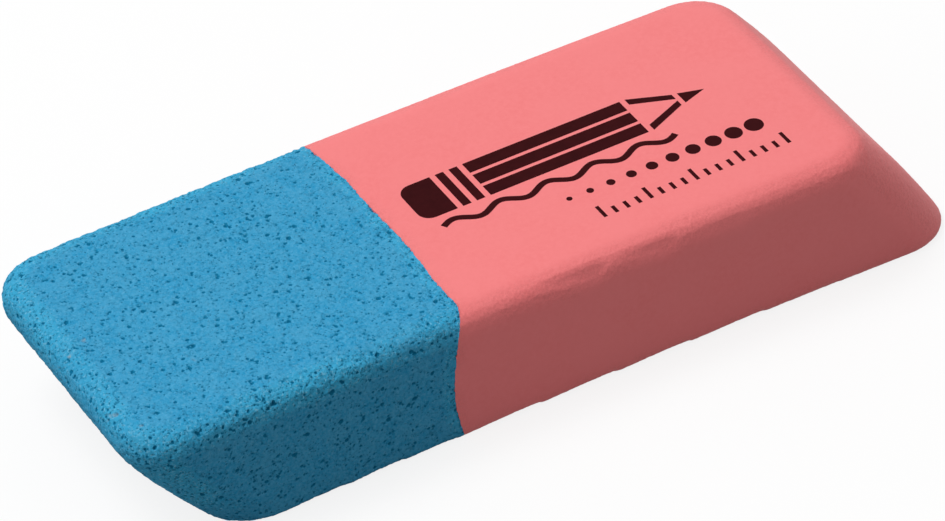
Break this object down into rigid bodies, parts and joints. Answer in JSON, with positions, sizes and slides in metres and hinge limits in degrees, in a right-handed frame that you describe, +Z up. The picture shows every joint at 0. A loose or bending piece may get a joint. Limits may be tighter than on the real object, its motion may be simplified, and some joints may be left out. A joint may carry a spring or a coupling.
{
  "type": "rubber eraser",
  "caption": "Flat block eraser with slanted ends and rounded edges: a gritty blue ink end bonded to a smooth pink pencil end.",
  "frame": {"origin": "middle of the block's footprint box, on the surface that it lies on", "axes": "+X along the block from the ink end towards the pencil end, +Z up through its thickness, +Y across its width"},
  "size_m": [0.0594, 0.0218, 0.0095],
  "materials": {
    "abrasive_rubber": "matt, gritty and pitted with small open pores",
    "soft_rubber": "smooth matt, with a faint leathery grain along its rounded edges"
  },
  "bodies": {
    "root": {"ink_end": "abrasive_rubber", "pencil_end": "soft_rubber"}
  },
  "joints": []
}
